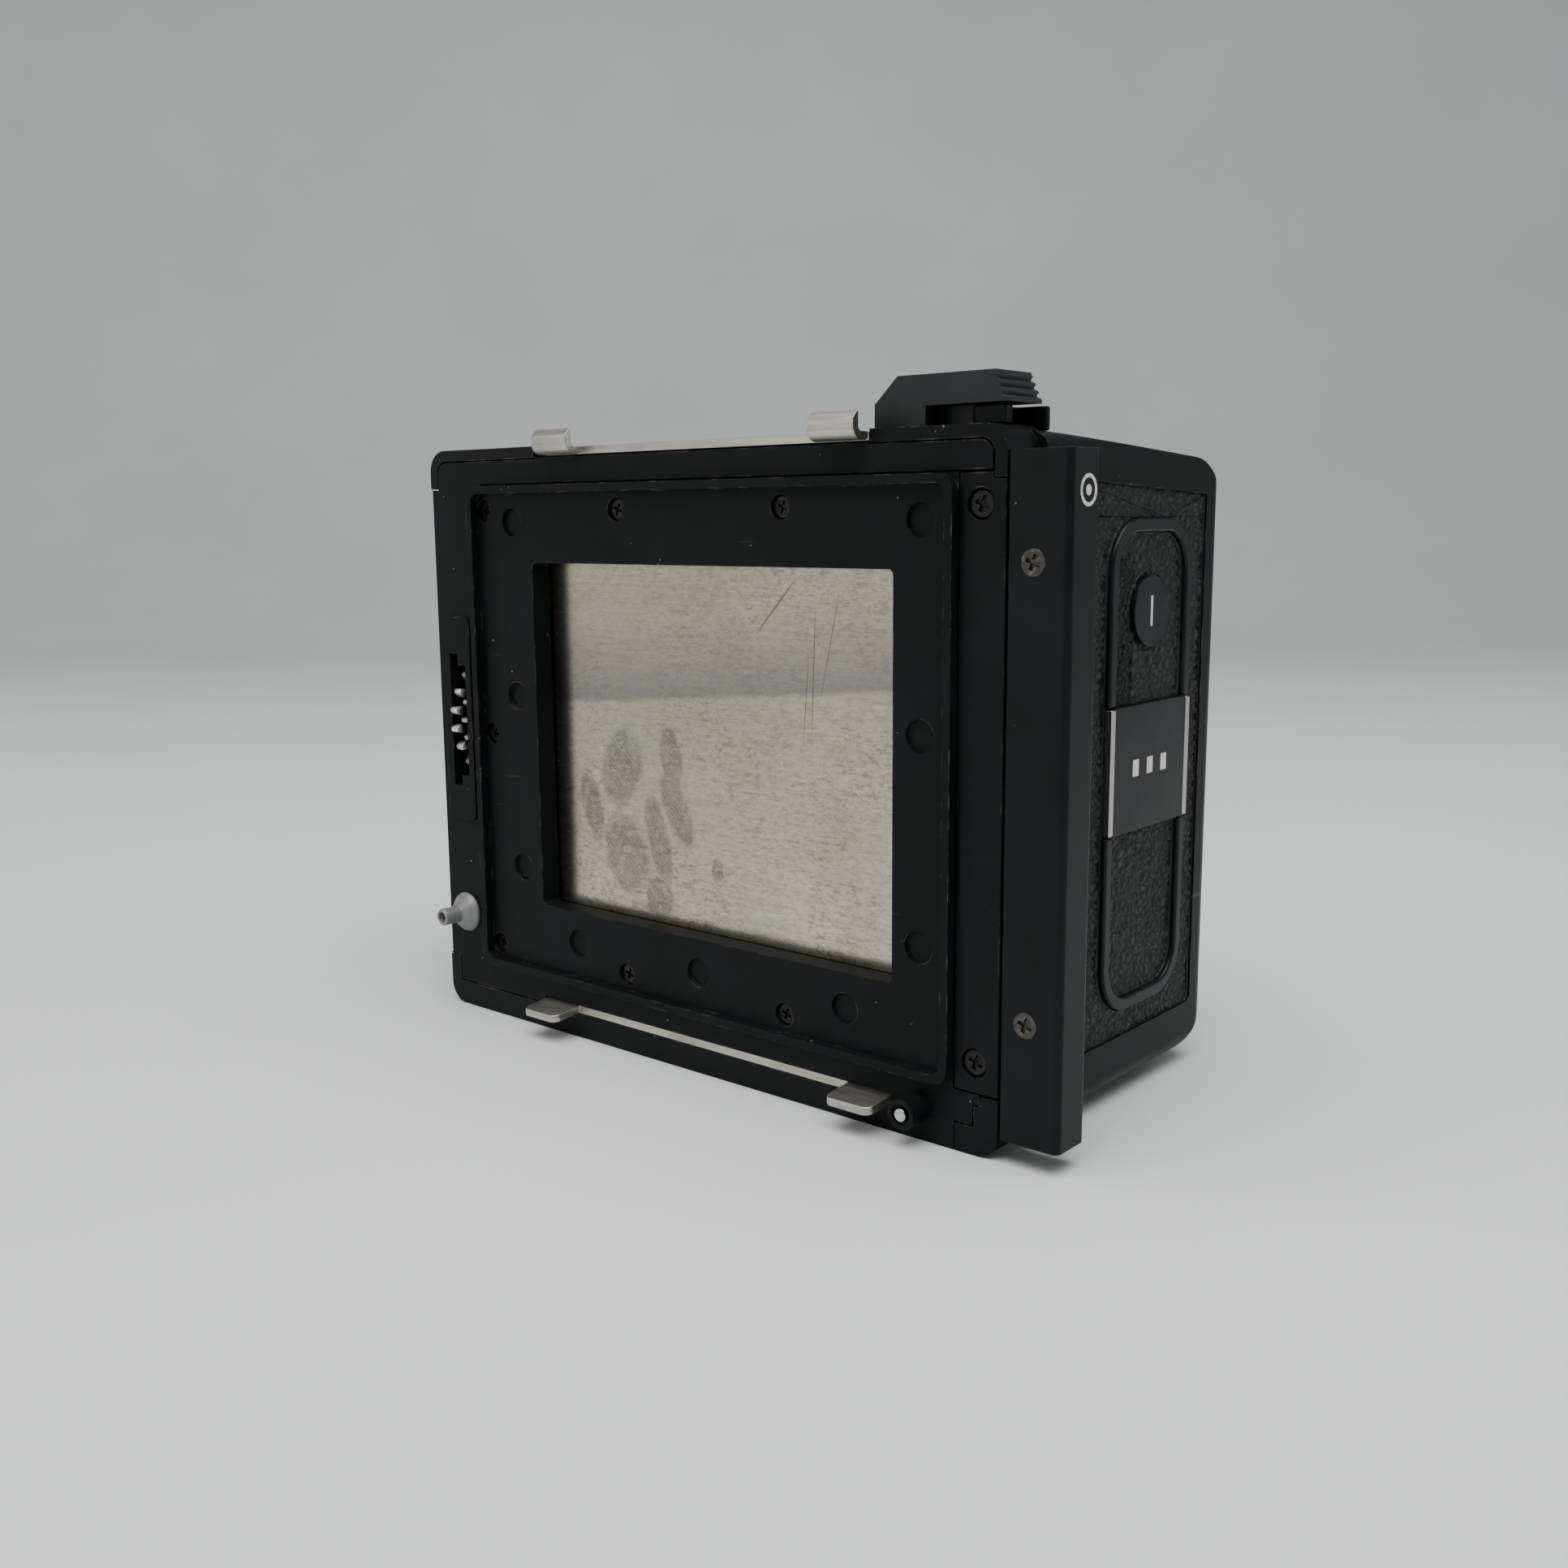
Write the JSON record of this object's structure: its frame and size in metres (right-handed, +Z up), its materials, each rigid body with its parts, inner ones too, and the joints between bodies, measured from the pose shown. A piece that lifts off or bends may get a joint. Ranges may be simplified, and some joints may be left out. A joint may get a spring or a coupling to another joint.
{
  "type": "35 mm film back",
  "caption": "Removable 35 mm film back for a 6 x 4.5 cm reflex camera, with dark slide, release lever, drive gear and hinged cover.",
  "frame": {"origin": "centre of the box around the part, at the surface that it stands on", "axes": "+X along the width, the way the dark slide pulls out; +Y from the camera to the rear cover; +Z up"},
  "size_m": [0.101, 0.0492, 0.077],
  "materials": {
    "black_paint": "satin black",
    "black_matte_casting": "matte black with a fine grain",
    "black_gloss_paint": "smooth semi-gloss black",
    "black_trim": "smooth black",
    "black_plastic": "satin black",
    "black_screw": "blackened steel",
    "worn_screw": "steel with worn blackening",
    "gear_black": "blackened, bright on the tooth tips",
    "chassis_black": "dull black",
    "felt": "black felt",
    "leatherette": "pebbled black leatherette",
    "slide_steel": "finely brushed, with finger marks",
    "hook_steel": "plain sheet steel",
    "polished_steel": "polished",
    "zinc_steel": "zinc plated",
    "bright_trim": "bright",
    "brass": "machined",
    "window": "clear",
    "white_paint": "white paint in an engraving",
    "dial_white": "white"
  },
  "bodies": {
    "case": {"outer_shell": "black_paint", "front_plate": "black_matte_casting", "slide_plate": "black_paint", "plate_screws": "black_screw", "slide_plate_screws": "black_screw", "slide_channel": "chassis_black", "light_trap_felts": "felt", "film_chassis": "chassis_black", "film_rails": "polished_steel", "gear_plate": "zinc_steel", "bottom_hooks": "hook_steel", "locating_pin": "zinc_steel", "interlock_sleeve": "black_paint", "lever_guard": "black_paint", "side_leather": "leatherette", "trim_ring": "black_trim", "format_plate": "black_trim", "format_strips": "bright_trim", "type_disc": "black_trim", "side_marks": "white_paint", "left_leather": "leatherette", "counter_window": "window", "hinge_pin": "zinc_steel", "pressure_spring": "polished_steel"},
    "dark_slide": {"dark_slide_blade": "slide_steel", "slide_handle": "black_gloss_paint", "index_mark": "white_paint", "handle_screws": "worn_screw"},
    "release": {"hook_slider": "hook_steel", "release_lever": "black_plastic"},
    "interlock": {"interlock_pin": "polished_steel"},
    "takeup": {"takeup_spool": "black_plastic", "takeup_gear": "brass", "wind_knob": "black_paint"},
    "sprocket": {"film_sprocket": "polished_steel", "sprocket_gear": "brass"},
    "idler": {"idler_gear": "brass"},
    "drive": {"drive_gear": "gear_black", "drive_shaft": "zinc_steel"},
    "counter": {"counter_dial": "dial_white"},
    "roller": {"film_roller": "zinc_steel"},
    "rewind": {"rewind_shaft": "polished_steel", "rewind_knob": "black_paint", "crank_pin": "polished_steel"},
    "crank": {"rewind_crank": "black_paint"},
    "grip": {"crank_grip": "black_plastic"},
    "cover": {"rear_cover": "black_paint", "rear_leather": "leatherette", "memo_frame": "black_trim", "cover_seals": "felt"},
    "latch": {"cover_latch": "black_plastic"},
    "pressure": {"pressure_plate": "chassis_black"}
  },
  "joints": [
    {"name": "dark_slide_pull", "type": "slide", "parent": "case", "child": "dark_slide", "axis": [1, 0, 0], "range_m": [0, 0.073]},
    {"name": "release_push", "type": "slide", "parent": "case", "child": "release", "axis": [-1, 0, 0], "range_m": [0, 0.0022], "stiffness_N_per_m": 250, "springref_m": -0.002},
    {"name": "interlock_press", "type": "slide", "parent": "case", "child": "interlock", "axis": [0, 1, 0], "range_m": [0, 0.0025], "stiffness_N_per_m": 150, "springref_m": -0.002},
    {"name": "takeup_turn", "type": "hinge", "parent": "case", "child": "takeup", "pos_m": [-0.00737, 0.0093, 0.05467], "axis": [1, 0, 0], "continuous": true},
    {"name": "sprocket_turn", "type": "hinge", "parent": "case", "child": "sprocket", "pos_m": [0.00263, -0.00535, 0.0615], "axis": [1, 0, 0], "continuous": true},
    {"name": "idler_turn", "type": "hinge", "parent": "case", "child": "idler", "pos_m": [-0.03737, -0.00535, 0.04954], "axis": [1, 0, 0], "continuous": true},
    {"name": "drive_gear_turn", "type": "hinge", "parent": "case", "child": "drive", "pos_m": [-0.03798, -0.01225, 0.0381], "axis": [1, 0, 0], "continuous": true},
    {"name": "counter_turn", "type": "hinge", "parent": "case", "child": "counter", "pos_m": [-0.04138, 0.00765, 0.036], "axis": [1, 0, 0], "continuous": true},
    {"name": "roller_turn", "type": "hinge", "parent": "case", "child": "roller", "pos_m": [0.00263, -0.00735, 0.01], "axis": [1, 0, 0], "continuous": true},
    {"name": "rewind_turn", "type": "hinge", "parent": "case", "child": "rewind", "pos_m": [-0.04238, 0.00515, 0.019], "axis": [1, 0, 0], "continuous": true},
    {"name": "crank_unfold", "type": "hinge", "parent": "rewind", "child": "crank", "pos_m": [-0.04967, 0.01035, 0.019], "axis": [0, 0, -1], "range_deg": [0, 170]},
    {"name": "grip_turn", "type": "hinge", "parent": "crank", "child": "grip", "pos_m": [-0.04967, -0.00045, 0.019], "axis": [1, 0, 0], "continuous": true},
    {"name": "cover_open", "type": "hinge", "parent": "case", "child": "cover", "pos_m": [0.00063, 0.01825, 0.002], "axis": [-1, 0, 0], "range_deg": [0, 95]},
    {"name": "latch_press", "type": "slide", "parent": "cover", "child": "latch", "axis": [0, 0, -1], "range_m": [0, 0.0025], "stiffness_N_per_m": 200, "springref_m": -0.002},
    {"name": "pressure_give", "type": "slide", "parent": "case", "child": "pressure", "axis": [0, 1, 0], "range_m": [0, 0.0006], "stiffness_N_per_m": 400, "springref_m": -0.001}
  ],
  "couplings": [
    {"joint": "sprocket_turn", "follows": "takeup_turn", "ratio": -1.5556},
    {"joint": "idler_turn", "follows": "takeup_turn", "ratio": 1.75},
    {"joint": "drive_gear_turn", "follows": "takeup_turn", "ratio": -1.2727},
    {"joint": "counter_turn", "follows": "takeup_turn", "ratio": -0.038889}
  ]
}
